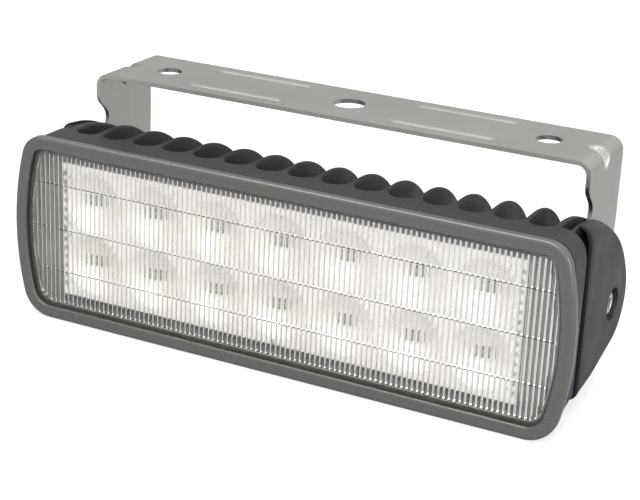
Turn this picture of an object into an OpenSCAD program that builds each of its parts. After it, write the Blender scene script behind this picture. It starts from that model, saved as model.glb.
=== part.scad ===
// Wide flood work lamp with a tilting U bracket.
// Frame: +X to the lamp's right end, +Y to its back, +Z up, millimetres.
// Origin: centre of the bracket's middle mounting hole, on the top face of the plate.
// The lamp hangs below the plate, faces -Y and tilts about the X line through its two pivot bolts.

/* [Face] */
// Overall width of the front rim
face_w = 280; // [272:1:290]
// Overall height of the front rim
face_h = 90.6; // [88:0.2:94]
// How far each end of the rim bows outward past its corners
side_bow = 7.2; // [6:0.2:8]
// Radius of the rim's two upper corners
corner_top = 12; // [11:0.5:13]
// Radius of the rim's two lower corners
corner_bottom = 15; // [14:0.5:16]
// Width of the visible rim band
rim_w = 6.3; // [6:0.1:7]

/* [Housing] */
// Depth of the smooth collar behind the rim plane
collar_depth = 17.8; // [17.4:0.1:18.4]
// Radius of the side covers' rounded back end, about the pivot
tail_r = 21.9; // [21.5:0.1:22.5]
// Radius of the side covers' arched top line
arch_r = 72; // [70:1:75]
// Radius of the fins' arched top line
fin_arch_r = 49.1; // [48.5:0.1:50]
// Rise of the underside for each millimetre of depth
belly_slope = 0.25; // [0.24:0.005:0.255]
// Spacing of the cooling fins
fin_pitch = 16.45; // [16.3:0.05:16.5]
// Thickness of one cooling fin
fin_t = 2.4; // [2:0.1:3]

/* [Light sources] */
// Number of light columns
led_columns = 7; // [7:1:7]
// Spacing of the columns
led_pitch_x = 32.7; // [32.4:0.1:32.8]
// Spacing of the two rows
led_pitch_z = 30.4; // [30:0.1:30.8]
// Radius of a reflector cup at its mouth
cup_r = 14.2; // [13:0.1:14.4]

/* [Bracket] */
// Thickness of the bracket's sheet
sheet_t = 2; // [1.8:0.1:2]
// Width of the bracket's plate, front to back
plate_w = 46; // [44:1:48]
// Distance from the middle plane to the outer face of each arm
arm_x = 125.4; // [125.3:0.1:125.5]
// Outer radius of the two bends
bend_r = 6.5; // [6:0.5:7]
// Drop from the plate's top face to the pivot line
pivot_drop = 70.5; // [70:0.5:72]
// Distance from the middle hole to each side hole
side_hole_x = 98; // [90:1:102]
// Radius of the two side holes
side_hole_r = 6; // [5:0.25:6.5]
// Radius of the middle hole
mid_hole_r = 7.75; // [6:0.25:8.5]

/* [Pivot] */
// Radius of the sleeve that each arm turns on
sleeve_r = 6; // [5.5:0.1:6]
// Radius of the bolt's shank
bolt_r = 4; // [3.5:0.5:4]
// Radius of the bolt's round head
bolt_head_r = 6.9; // [6.5:0.1:7]

/* [Side covers] */
// Distance from the middle plane to a cover's outer face
cover_x = 134.6; // [134.4:0.1:135.2]
// Wall thickness of a cover
cover_t = 2.2; // [2:0.1:2.6]

/* [Hidden] */
$fn = 96;
eps = 0.01;
far = 400;

black_plastic = [0.13, 0.13, 0.14];
rim_grey = [0.45, 0.45, 0.44];
steel = [0.72, 0.71, 0.68];
brass = [0.72, 0.58, 0.30];
rubber = [0.08, 0.08, 0.08];

// --- the lamp's face frame: origin at the face centre on the rim plane ---
pivot_back = 69.5;
pivot_low = -5;
face_z = -pivot_drop - pivot_low;
half_w = face_w / 2;
half_h = face_h / 2;
side_r = (half_h * half_h + side_bow * side_bow) / (2 * side_bow);
side_cx = half_w - side_r;

// --- side profile of the lamp, in (y, z) of the face frame ---
body_top = half_h - 1;
tail = [pivot_back, pivot_low];
arch_cz = body_top - arch_r;
arch_cy = tail.x - sqrt(pow(arch_r - tail_r, 2) - pow(tail.y - arch_cz, 2));
arch = [arch_cy, arch_cz];
belly_k = sqrt(1 + belly_slope * belly_slope);
belly_n = [belly_slope, -1] / belly_k;
belly_z0 = tail.y - belly_slope * tail.x - tail_r * belly_k;

// --- the fins' own arch and tail, which touches both the arch and the belly ---
fin_arch = [31.9, body_top - fin_arch_r];
fin_tail_r = 20;
tail_line = belly_z0 + fin_tail_r * belly_k;
tail_b = fin_arch.x - belly_slope * (tail_line - fin_arch.y);
tail_c = pow(fin_arch.x, 2) + pow(tail_line - fin_arch.y, 2) - pow(fin_arch_r - fin_tail_r, 2);
fin_tail_y = (tail_b + sqrt(tail_b * tail_b - belly_k * belly_k * tail_c)) / (belly_k * belly_k);
fin_tail = [fin_tail_y, tail_line + belly_slope * fin_tail_y];

// --- fins, end walls and guards across the width ---
fin_count = 2 * led_columns;
last_fin_x = (fin_count - 1) / 2 * fin_pitch;
end_out = arm_x - sheet_t - 0.5;
end_t = 3.4;
end_in = end_out - end_t;
guard_in = arm_x + 0.8;
guard_t = 1.6;
guard_back = 39.5;
collar_side_back = 21;
collar_end_x = 135;

// --- stack of layers behind the rim plane (y of the face frame) ---
rim_front = -1.6;
rim_back = 3;
lens_front = 0.5;
lens_back = 2.4;
tray_y = 6;
tray_t = 0.9;
board_y = 13;
board_t = 1.6;
pad_t = 0.3;
chamber_y = board_y + board_t + pad_t;
cup_back = board_y - 0.4;
led_hole_r = 4.4;
led_t = 0.7;
led_side = 5;
field_inset = 8.4;
chamber_inset = 7.6;

// --- driver box and rear cover ---
box_x = 52;
box_y = 80;
box_low = -22.5;
box_high = 15;
box_wall = 3;
rear_gasket_t = 0.8;
rear_cover_t = 3;
rear_y = box_y + rear_gasket_t + rear_cover_t;
rear_screw_x = box_x - 4.2;
rear_screw_z = [box_low + 4.5, box_high - 4.5];
gland_x = -22;
vent_x = 24;
port_z = -4;
gland_r = 8;
gland_bore = 5.5;
cable_r = 4;
vent_r = 5;
driver_z = -9;
driver_t = 1.6;
driver_x = 40;
driver_y = [26, 74];
lead_x = fin_pitch;
lead_gap = 2;
lead_r = 1.1;

// --- pivot stack, outward along X ---
insert_r = 6.5;
insert_in = end_in - 14;
sleeve_in = end_in - 2;
washer_seat = end_out - 1.3;
washer_gap = 0.3;
washer_r = 13;
arm_in = arm_x - sheet_t;
outer_washer_t = 1.4;
hub_in = arm_x + washer_gap + outer_washer_t;
head_seat = hub_in + 1.8;
head_h = 4.3;
recess_r = bolt_head_r + 0.75;
running_gap = 0.06;
cover_front = 29.3;
cover_crown = 0.3;
cover_corner = 9;
cover_in = guard_in + guard_t + 0.5;
peg_r = 1.5;
peg_y = 35.4;
peg_z = [-24, 24];

// ================= helpers =================

module face_frame() translate([0, -pivot_back, face_z]) children();

// Extrudes an (x, z) outline from y0 back to y1
module slab(y0, y1) translate([0, y1, 0]) rotate([90, 0, 0]) linear_extrude(height = y1 - y0) children();

// Extrudes a (y, z) outline from x0 out to x1
module plate_x(x0, x1) translate([x0, 0, 0]) rotate([90, 0, 90]) linear_extrude(height = x1 - x0) children();

// A round bar along Y
module bar_y(r, y0, y1) translate([0, y0, 0]) rotate([-90, 0, 0]) cylinder(r = r, h = y1 - y0);

// A round bar along X
module bar_x(r, x0, x1) translate([x0, 0, 0]) rotate([0, 90, 0]) cylinder(r = r, h = x1 - x0);

// A cone along Y, from radius ra at y0 to radius rb at y1
module cone_y(ra, rb, y0, y1)
  translate([0, y0, 0]) rotate([-90, 0, 0]) cylinder(r1 = ra, r2 = rb, h = y1 - y0);

module box(low, high) translate(low) cube(high - low);

module both_ends() {
  children();
  mirror([1, 0, 0]) children();
}

module at_pivot() translate([0, pivot_back, pivot_low]) children();

// What an upper right corner loses to an arc of radius r that starts at angle a and ends at the top
module corner_cut(r, a) {
  out = 2 * r + 9;
  difference() {
    polygon([[0, 0], [0, out], [out, out], out * [cos(a), sin(a)]]);
    circle(r);
  }
}

module both_ends_2d() {
  children();
  mirror([1, 0]) children();
}

// A rectangle with two different corner radii, made of true arcs
module soft_rect(w, top, low, rt, rb) difference() {
  translate([-w, low]) square([2 * w, top - low]);
  both_ends_2d() {
    translate([w - rt, top - rt]) corner_cut(rt, 0);
    translate([w - rb, low + rb]) mirror([0, 1]) corner_cut(rb, 0);
  }
}

// Centre of a face corner of radius r, and the angle where its arc meets the bowed end
function corner_x(r) = side_cx + sqrt(pow(side_r - r, 2) - pow(half_h - r, 2));
function corner_lean(r) = asin((half_h - r) / (side_r - r));

// The rim's outline grown by g (negative shrinks it): flat top and bottom, bowed ends
module face_outline(g) difference() {
  intersection() {
    translate([-half_w - 1, -half_h - g]) square([2 * half_w + 2, 2 * (half_h + g)]);
    translate([side_cx, 0]) circle(side_r + g, $fn = 360);
    translate([-side_cx, 0]) circle(side_r + g, $fn = 360);
  }
  both_ends_2d() {
    translate([corner_x(corner_top), half_h - corner_top])
      corner_cut(corner_top + g, corner_lean(corner_top));
    translate([corner_x(corner_bottom), corner_bottom - half_h]) mirror([0, 1])
      corner_cut(corner_bottom + g, corner_lean(corner_bottom));
  }
}

// Height of the underside at depth y, for a profile grown by g
function belly(y, g) = belly_z0 + belly_slope * y - g * belly_k;

// A side profile grown by g: arch of radius ra about a, round tail of radius rt about t, rising
// belly; its front end is buried in the collar or cut off by whatever uses it
module arched_profile(g, a, ra, t, rt) {
  y0 = 8;
  arch_out = a + (t - a) * (ra + 20) / (ra - rt);
  belly_end = t + (rt + g) * belly_n;
  polygon([[y0, belly(y0, g)], belly_end, t, [a.x, a.y + ra + g], [y0, body_top + g]]);
  translate(t) circle(rt + g);
  intersection() {
    translate(a) circle(ra + g, $fn = 240);
    polygon([[a.x, belly(a.x, g)], belly_end, t, arch_out, [a.x, arch_out.y + 60]]);
  }
}
module side_profile(g) arched_profile(g, arch, arch_r, tail, tail_r);
module fin_profile() arched_profile(0, fin_arch, fin_arch_r, fin_tail, fin_tail_r);

module at_leds() {
  for (i = [0 : led_columns - 1], s = [-1, 1])
    translate([(i - (led_columns - 1) / 2) * led_pitch_x, 0, s * led_pitch_z / 2]) children();
}

// Board screws sit between four cups; one of those places is left for the leads
module at_board_screws() {
  for (x = [-2.5, -1.5, -0.5, 1.5, 2.5] * led_pitch_x) translate([x, 0, 0]) children();
}

module at_rear_screws() {
  for (s = [-1, 1], z = rear_screw_z) translate([s * rear_screw_x, 0, z]) children();
}

module at_driver_screws() {
  for (s = [-1, 1], y = [driver_y[0] + 4, driver_y[1] - 4]) translate([s * (driver_x - 4), y, 0]) children();
}

// ================= bracket =================

function ease(t) = (1 - cos(180 * t)) / 2;

// One arm in (y, z): full width below the bend, a waist in front, a round end at the pivot
module arm_profile() {
  half = plate_w / 2;
  end_r = 17;
  waist_y = -15.2;
  waist_z = -23;
  steps = 10;
  upper = [
    for (i = [0 : steps])
      [-half + (half + waist_y) * ease(i / steps), -11.5 + (waist_z + 11.5) * i / steps]
  ];
  lower = [for (i = [1 : steps]) [waist_y - 3.3 * ease(i / steps), waist_z - 12 * i / steps]];
  back = [for (i = [0 : steps]) [end_r + (half - end_r) * ease(i / steps), -64 + 26 * i / steps]];
  difference() {
    union() {
      polygon(concat(
        [[-half, -bend_r]], upper, lower,
        [[-end_r, -pivot_drop], [end_r, -pivot_drop]], back, [[half, -bend_r]]
      ));
      translate([0, -pivot_drop]) circle(end_r);
    }
    translate([0, -pivot_drop]) circle(sleeve_r + running_gap);
  }
}

// Quarter-round bend between the plate and the right arm
module bend() {
  intersection() {
    translate([arm_x - bend_r, -plate_w / 2, -bend_r]) rotate([-90, 0, 0]) difference() {
      cylinder(r = bend_r, h = plate_w);
      translate([0, 0, -1]) cylinder(r = bend_r - sheet_t, h = plate_w + 2);
    }
    box([arm_x - bend_r, -plate_w, -bend_r], [arm_x + 1, plate_w, 1]);
  }
}

// Pressed corner web that stiffens a bend: a slanted tongue inside and a dent outside
gusset_w = 9;
gusset_leg = 11;
bend_mid = bend_r - sheet_t / 2;
module gusset_body() {
  translate([0, gusset_w / 2, 0]) rotate([90, 0, 0]) linear_extrude(height = gusset_w)
    polygon([
      [arm_x - gusset_leg - 3.2, -sheet_t / 2], [arm_x - bend_r, -sheet_t / 2],
      [arm_x - bend_r + bend_mid * sin(45), bend_mid * cos(45) - bend_r],
      [arm_x - sheet_t / 2, -bend_r], [arm_x - sheet_t / 2, -gusset_leg - 3.2],
      [arm_x - sheet_t, -gusset_leg - 3.2], [arm_x - gusset_leg - 3.2, -sheet_t]
    ]);
}
module gusset_dent() {
  dent_r = 5;
  translate([arm_x - gusset_leg, 0, 0]) rotate([0, 135, 0]) translate([-dent_r * 0.62, 0, -dent_r])
    cylinder(r = dent_r, h = gusset_leg * 1.42 + 2 * dent_r);
}

// Shallow stiffening beads pressed into the plate
bead_w = 5.5;
bead_l = 52;
bead_depth = 0.8;
module at_beads() {
  for (s = [-1, 1], q = [-1, 1]) translate([s * 53, q * 14.8, 0]) children();
}
module bead(w, z0, z1) {
  translate([-(bead_l - w) / 2, -w / 2, z0]) cube([bead_l - w, w, z1 - z0]);
  for (s = [-1, 1]) translate([s * (bead_l - w) / 2, 0, z0]) cylinder(r = w / 2, h = z1 - z0);
}

module bracket() color(steel) difference() {
  union() {
    box([-(arm_x - bend_r), -plate_w / 2, -sheet_t], [arm_x - bend_r, plate_w / 2, 0]);
    both_ends() {
      bend();
      plate_x(arm_in, arm_x) arm_profile();
      gusset_body();
    }
    at_beads() bead(bead_w, -sheet_t - bead_depth, -sheet_t / 2);
  }
  both_ends() gusset_dent();
  at_beads() bead(bead_w - 1.6, -bead_depth, 1);
  translate([0, 0, -far / 2]) cylinder(r = mid_hole_r, h = far);
  for (s = [-1, 1]) translate([s * side_hole_x, 0, -far / 2]) cylinder(r = side_hole_r, h = far);
}

// ================= housing =================

// Collar behind the rim: rim outline, ends drafted inward, belly rising to the back
module collar() intersection() {
  slab(rim_back, collar_side_back) face_outline(-1);
  end_draft();
  rising_belly();
}
module end_draft() {
  out = half_w - 1;
  lean = (out - collar_end_x) / (collar_side_back - rim_back) * 30;
  translate([0, rim_back, -far / 2]) linear_extrude(height = far)
    polygon([[-out, 0], [out, 0], [out - lean, 30], [lean - out, 30]]);
}
module rising_belly() {
  r = corner_bottom - 1;
  translate([0, 0, belly_z0]) rotate([atan(belly_slope), 0, 0]) slab(-20, 60) difference() {
    translate([-far / 2, 0]) square([far, far]);
    both_ends_2d() translate([corner_x(corner_bottom) + 0.7, r]) mirror([0, 1]) corner_cut(r, 0);
  }
}

// Slots between the fins, each with a half-round front end
module fin_slots() {
  for (i = [0 : fin_count - 2])
    slot(-last_fin_x + fin_t / 2 + i * fin_pitch, -last_fin_x - fin_t / 2 + (i + 1) * fin_pitch);
  slot(last_fin_x + fin_t / 2, end_in);
  slot(-end_in, -last_fin_x - fin_t / 2);
}
module slot(x0, x1) {
  r = (x1 - x0) / 2;
  translate([x0 + r, collar_depth + r, -far / 2]) cylinder(r = r, h = far);
  box([x0, collar_depth + r, -far / 2], [x1, far, far / 2]);
}

module finned_body() {
  difference() {
    union() {
      plate_x(-end_in, end_in) fin_profile();
      both_ends() plate_x(end_in, end_out) side_profile(0);
    }
    fin_slots();
    box([-box_x - 1.5, box_y, -far], [box_x + 1.5, far, far]);
  }
  box([-box_x, chamber_y, box_low], [box_x, box_y, box_high]);
}

// Round bosses that hold the brass inserts, and guards outboard of the arms
module end_bosses() {
  at_pivot() bar_x(insert_r + 3.5, insert_in - 2, end_in + 1);
  intersection() {
    plate_x(guard_in, guard_in + guard_t) side_profile(-1.2);
    box([0, collar_depth, -far], [far, guard_back, far]);
  }
}

module housing() color(black_plastic) face_frame() difference() {
  union() {
    difference() {
      collar();
      box([-end_out, collar_depth, -far], [end_out, far, far]);
    }
    finned_body();
    both_ends() end_bosses();
  }
  slab(rim_back - 1, chamber_y) face_outline(-chamber_inset);
  box([-box_x + 8.5, collar_depth + box_wall, box_low + box_wall], [box_x - 8.5, far, box_high - box_wall]);
  both_ends() {
    at_pivot() bar_x(insert_r + 0.01, insert_in, sleeve_in);
    at_pivot() bar_x(sleeve_r + 0.05, sleeve_in - eps, far);
    at_pivot() bar_x(washer_r + 0.4, washer_seat, end_out + 1);
    for (z = peg_z) translate([0, peg_y, z]) bar_x(peg_r + 0.08, guard_in - 1, far);
  }
  at_board_screws() bar_y(1.5, 10, 17.3);
  at_rear_screws() bar_y(1.5, box_y - 9, box_y + 5);
  for (s = [-1, 1]) translate([lead_x + s * lead_gap, 0, 0]) bar_y(lead_r + 0.4, 10, 30);
}

// ================= front optics =================

// Grey frame around the lens, with a stepped outer edge and a rebate for the lens
module rim() color(rim_grey) face_frame() difference() {
  union() {
    slab(rim_front + 0.8, rim_back) face_outline(0);
    slab(rim_front, rim_front + 1) face_outline(-0.9);
  }
  slab(rim_front - 1, rim_back + 1) face_outline(-rim_w);
  slab(rim_front - 1, rim_front + 0.9) face_outline(-rim_w + 0.9);
  slab(lens_front - 0.1, rim_back + 1) face_outline(-rim_w + 2.1);
}

// Clear plate with upright flutes on its inner face, broken by three plain lines
flute_pitch = 2.5;
flute_r = 1.3;
flute_rise = flute_r - sqrt(flute_r * flute_r - flute_pitch * flute_pitch / 4);
flute_count = 107;
flute_breaks = [-20.8, 0.5, 22.4];
module flute(x) translate([x, lens_back + flute_rise - flute_r, -half_h])
  cylinder(r = flute_r, h = 2 * half_h, $fn = 32);
module lens() color([0.92, 0.95, 0.96], 0.4) face_frame() {
  slab(lens_front, lens_back) face_outline(-rim_w + 1.9);
  difference() {
    intersection() {
      for (i = [0 : flute_count - 1]) flute((i - (flute_count - 1) / 2) * flute_pitch);
      slab(lens_front + 0.5, lens_back + 3) face_outline(-field_inset);
    }
    for (z = flute_breaks) box([-far / 2, lens_back, z - 0.35], [far / 2, lens_back + 3, z + 0.35]);
  }
}

module lens_gasket() color(rubber) face_frame() difference() {
  slab(lens_back, rim_back) face_outline(-rim_w + 1.9);
  slab(lens_back - 1, rim_back + 1) face_outline(-chamber_inset);
}

// Round body with the tray cups' two-stage profile, its mouth at the tray's front or ahead of it
module cup_body(grow, ahead, back) {
  knee_y = tray_y + 3;
  knee_r = cup_r * 0.82 + grow;
  mouth_r = cup_r + grow + ahead;
  rotate([-90, 0, 0]) rotate_extrude()
    polygon([
      [0, tray_y - ahead], [mouth_r, tray_y - ahead], [knee_r, knee_y],
      [led_hole_r + grow, back], [0, back]
    ]);
}

// Bright tray of fourteen two-stage cups with a turned-back skirt
module reflector_tray() color([0.85, 0.86, 0.87]) face_frame() {
  tray_w = led_columns / 2 * led_pitch_x + 0.3;
  tray_h = 33;
  difference() {
    union() {
      slab(tray_y, tray_y + tray_t) soft_rect(tray_w, tray_h, -tray_h, 3, 3);
      at_leds() cup_body(0.5, 0, cup_back);
      difference() {
        slab(tray_y, cup_back) soft_rect(tray_w, tray_h, -tray_h, 3, 3);
        slab(tray_y - 1, cup_back + 1) soft_rect(tray_w - 1, tray_h - 1, -tray_h + 1, 2, 2);
      }
    }
    at_leds() cup_body(0, 0.5, cup_back + 0.5);
  }
}

module led_board() color([0.93, 0.93, 0.91]) face_frame() difference() {
  slab(board_y, board_y + board_t) soft_rect(115.5, 32.5, -32.5, 4, 4);
  at_board_screws() bar_y(1.7, board_y - 1, board_y + 3);
  for (s = [-1, 1]) translate([lead_x + s * lead_gap, 0, 0]) bar_y(lead_r + 0.3, board_y - 1, board_y + 3);
}

module led_packages() color([0.95, 0.93, 0.80]) face_frame()
  at_leds() translate([-led_side / 2, board_y - led_t, -led_side / 2]) cube([led_side, led_t, led_side]);

module led_domes() color([0.98, 0.90, 0.45], 0.8) face_frame() {
  dome_r = 2.1;
  at_leds() intersection() {
    translate([0, board_y - led_t, 0]) sphere(r = dome_r, $fn = 48);
    bar_y(dome_r + 1, board_y - led_t - dome_r - 1, board_y - led_t);
  }
}

// Small header on the board's face where the two leads end
module board_connector() color([0.92, 0.90, 0.84]) face_frame()
  box([lead_x - 4, board_y - 3, -2.2], [lead_x + 4, board_y, 2.2]);

module pan_screw(r, head_r, head_h, length) {
  cylinder(r = r, h = length);
  difference() {
    translate([0, 0, -head_h]) cylinder(r = head_r, h = head_h);
    translate([0, 0, -head_h - eps]) cylinder(r = head_r * 0.45, h = head_h * 0.5, $fn = 6);
  }
}

module board_screws() color(steel) face_frame()
  at_board_screws() translate([0, board_y, 0]) rotate([-90, 0, 0]) pan_screw(1.5, 2.7, 1.8, 4.2);

module thermal_pad() color([0.35, 0.36, 0.38]) face_frame() difference() {
  slab(board_y + board_t, chamber_y) soft_rect(115, 32, -32, 4, 4);
  at_board_screws() bar_y(1.9, board_y, chamber_y + 1);
  for (s = [-1, 1]) translate([lead_x + s * lead_gap, 0, 0]) bar_y(lead_r + 0.6, board_y, chamber_y + 1);
}

// ================= driver =================

module driver_board() color([0.10, 0.32, 0.20]) face_frame() difference() {
  box([-driver_x, driver_y[0], driver_z], [driver_x, driver_y[1], driver_z + driver_t]);
  at_driver_screws() translate([0, 0, driver_z - 1]) cylinder(r = 1.7, h = 4);
}

module driver_coils() color([0.30, 0.30, 0.32]) face_frame() {
  for (x = [-24, 0]) translate([x, 42, driver_z + driver_t]) {
    cylinder(r = 8, h = 1.5);
    cylinder(r = 6.5, h = 9);
    translate([0, 0, 7.5]) cylinder(r = 8, h = 1.5);
  }
}

module driver_capacitors() color([0.20, 0.22, 0.45]) face_frame()
  for (x = [-10, 2, 14]) translate([x, 62, driver_z + driver_t]) cylinder(r = 5, h = 11);

module driver_chips() color([0.12, 0.12, 0.12]) face_frame() {
  for (y = [36, 50, 64]) translate([20, y, driver_z + driver_t]) cube([7, 5, 1.8]);
  translate([13, 34, driver_z + driver_t]) cube([4, 9, 3]);
}

module driver_standoffs() color(brass) face_frame()
  at_driver_screws() translate([0, 0, box_low + box_wall]) difference() {
    cylinder(r = 2.8, h = driver_z - box_low - box_wall, $fn = 6);
    translate([0, 0, 3]) cylinder(r = 1.5, h = far);
  }

module driver_screws() color(steel) face_frame()
  at_driver_screws() translate([0, 0, driver_z + driver_t]) rotate([180, 0, 0]) pan_screw(1.5, 2.7, 1.8, 6);

// Two-way screw terminal where the supply cable's cores would end, just inside the gland
module terminal_block() color([0.10, 0.35, 0.16])
face_frame() translate([gland_x, 64, driver_z + driver_t]) {
  difference() {
    box([-5.5, 0, 0], [5.5, 8, 9]);
    for (s = [-1, 1]) translate([s * 2.6, 0, 0]) {
      translate([0, 4, 6]) cylinder(r = 1.9, h = 5);
      translate([0, 0, 3]) bar_y(1.5, 4, 9);
    }
  }
}

// Two leads from the light board through the chamber's back wall to the driver board
module inner_leads() color([0.60, 0.08, 0.06]) face_frame() {
  lead_back = 30;
  for (s = [-1, 1]) translate([lead_x + s * lead_gap, 0, 0]) {
    bar_y(lead_r, board_y, lead_back);
    translate([0, lead_back, 0]) sphere(r = lead_r, $fn = 48);
    translate([0, lead_back, driver_z + driver_t]) cylinder(r = lead_r, h = -driver_z - driver_t);
  }
}

// ================= rear cover =================

module rear_outline(g) soft_rect(box_x + g, box_high + g, box_low - g, 4 + g, 4 + g);

module rear_gasket() color(rubber) face_frame() difference() {
  slab(box_y, box_y + rear_gasket_t) rear_outline(-0.4);
  slab(box_y - 1, box_y + 2)
    soft_rect(box_x - 9.5, box_high - box_wall - 0.3, box_low + box_wall + 0.3, 2, 2);
  at_rear_screws() bar_y(1.8, box_y - 1, box_y + 2);
}

module rear_cover() color(black_plastic) face_frame() difference() {
  union() {
    slab(box_y + rear_gasket_t, rear_y) rear_outline(0);
    translate([gland_x, 0, port_z]) bar_y(gland_r + 6, rear_y - 1, rear_y + 1);
    translate([vent_x, 0, port_z]) bar_y(vent_r + 4, rear_y - 1, rear_y + 1);
  }
  translate([gland_x, 0, port_z]) bar_y(gland_r + 0.05, box_y, far);
  translate([vent_x, 0, port_z]) bar_y(vent_r + 0.05, box_y, far);
  at_rear_screws() bar_y(1.8, box_y, far);
}

module rear_screws() color(steel) face_frame()
  at_rear_screws() translate([0, rear_y, 0]) rotate([90, 0, 0]) pan_screw(1.5, 2.8, 2, 11);

// Threaded body with a hexagonal flange; its bore takes the seal and the cable
module gland_body() color(black_plastic) face_frame() translate([gland_x, 0, port_z]) difference() {
  union() {
    bar_y(gland_r, box_y + 0.5, rear_y + 1.5);
    translate([0, rear_y + 1, 0]) rotate([-90, 0, 0]) cylinder(r = 12, h = 4.5, $fn = 6);
    bar_y(gland_r, rear_y + 5, rear_y + 9);
  }
  bar_y(gland_bore, box_y, far);
}

module gland_nut() color(black_plastic) face_frame() translate([gland_x, 0, port_z]) difference() {
  union() {
    translate([0, rear_y + 5.6, 0]) rotate([-90, 0, 0]) cylinder(r = 11.5, h = 5, $fn = 6);
    cone_y(9.8, 7, rear_y + 10.6, rear_y + 14);
  }
  bar_y(gland_r + 0.05, rear_y + 5, rear_y + 9.2);
  bar_y(cable_r + 0.4, rear_y + 5, far);
}

// Rubber ring that the nut squeezes round the cable
module gland_seal() color(rubber) face_frame() translate([gland_x, 0, port_z]) difference() {
  bar_y(gland_bore - 0.05, rear_y + 1, rear_y + 9);
  bar_y(cable_r, rear_y, rear_y + 10);
}

module vent_plug() color(black_plastic) face_frame() translate([vent_x, 0, port_z]) difference() {
  union() {
    bar_y(vent_r, box_y + 0.5, rear_y + 1.5);
    bar_y(vent_r + 2.2, rear_y + 1, rear_y + 4);
  }
  bar_y(1.2, box_y, rear_y + 2.5);
  for (a = [0, 60, 120]) rotate([0, a, 0]) translate([0, rear_y + 2.2, 0]) bar_x(0.5, -10, 10);
}

// ================= side covers and pivots =================

// Hollow of the right cover, with its upper outer corner cut off inside the rounded one
module cover_cavity() {
  x1 = cover_x - cover_t;
  corner = cover_corner - cover_t;
  z1 = body_top - cover_corner;
  y1 = pivot_back + 8.5;
  intersection() {
    plate_x(cover_in - 1, x1) intersection() {
      translate(arch) circle(arch_r - cover_t, $fn = 240);
      polygon([[0, belly(0, -cover_t)], [y1, belly(y1, -cover_t)], [y1, 60], [0, 60]]);
    }
    slab(cover_front + cover_t, 100)
      polygon([[0, -100], [x1, -100], [x1, z1], [x1 - corner, z1 + corner], [x1 - corner, 100], [0, 100]]);
  }
}

// Right cover: side profile with a soft upper front corner, hollow behind, hub around the bolt
module cover_shell() difference() {
  union() {
    difference() {
      intersection() {
        plate_x(cover_in, cover_x) side_profile(0);
        slab(cover_front, 100) soft_rect(cover_x, body_top + cover_crown, -body_top, cover_corner, 12);
      }
      cover_cavity();
    }
    at_pivot() bar_x(recess_r + 2.4, hub_in, cover_x - 0.5);
    for (z = peg_z) translate([0, peg_y, z]) {
      bar_x(peg_r, guard_in + 0.3, cover_in + 1);
      bar_x(peg_r + 1.5, cover_in, cover_x - 0.5);
    }
  }
  at_pivot() bar_x(sleeve_r + 0.05, hub_in - 1, far);
  at_pivot() bar_x(recess_r, head_seat, far);
}

module right_cover() color(black_plastic) face_frame() cover_shell();
module left_cover() color(black_plastic) face_frame() mirror([1, 0, 0]) cover_shell();

// Button-head bolt with a hexagon socket, head outward
module pivot_bolt() at_pivot() difference() {
  union() {
    bar_x(bolt_r, insert_in + 1, head_seat + 1);
    translate([head_seat, 0, 0]) rotate([0, 90, 0]) rotate_extrude() polygon([
      [0, 0], [bolt_head_r, 0], [bolt_head_r, 1.2], [bolt_head_r - 0.5, 2.3],
      [bolt_head_r - 1.7, 3.4], [bolt_head_r - 3, head_h], [0, head_h]
    ]);
  }
  translate([head_seat + head_h - 2.6, 0, 0]) rotate([0, 90, 0]) cylinder(r = 2.9, h = 5, $fn = 6);
}
module pivot_bolts() color(steel) face_frame() both_ends() pivot_bolt();

module pivot_sleeves() color(steel) face_frame() both_ends() at_pivot() difference() {
  bar_x(sleeve_r, sleeve_in, head_seat);
  bar_x(bolt_r + 0.05, sleeve_in - 1, head_seat + 1);
}

module pivot_inserts() color(brass) face_frame() both_ends() at_pivot() difference() {
  bar_x(insert_r, insert_in, sleeve_in);
  bar_x(bolt_r + 0.01, insert_in - 1, sleeve_in + 1);
}

// Friction washers on both faces of each arm
module inner_washers() color([0.20, 0.20, 0.20]) face_frame() both_ends() at_pivot() difference() {
  bar_x(washer_r, washer_seat, arm_in - washer_gap);
  bar_x(sleeve_r + 0.05, washer_seat - 1, arm_in + 1);
}
module outer_washers() color([0.20, 0.20, 0.20]) face_frame() both_ends() at_pivot() difference() {
  bar_x(washer_r - 1, arm_x + washer_gap, hub_in);
  bar_x(sleeve_r + 0.05, arm_x - 1, hub_in + 1);
}

bracket();
housing();
rim();
lens();
lens_gasket();
reflector_tray();
led_board();
led_packages();
led_domes();
board_connector();
board_screws();
thermal_pad();
driver_board();
driver_coils();
driver_capacitors();
driver_chips();
driver_standoffs();
driver_screws();
terminal_block();
inner_leads();
rear_cover();
rear_gasket();
rear_screws();
gland_body();
gland_nut();
gland_seal();
vent_plug();
right_cover();
left_cover();
pivot_bolts();
pivot_sleeves();
pivot_inserts();
inner_washers();
outer_washers();
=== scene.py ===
"""Looks of the LED flood work lamp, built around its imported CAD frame.

Sizes are in millimetres in the lamp's face frame: origin at the face centre on the rim plane,
+X to the lamp's right end, +Y to its back, +Z up. place() turns them into metres of the row frame.
"""
import math

import bmesh
import bpy
from mathutils import Matrix, Vector


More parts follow.
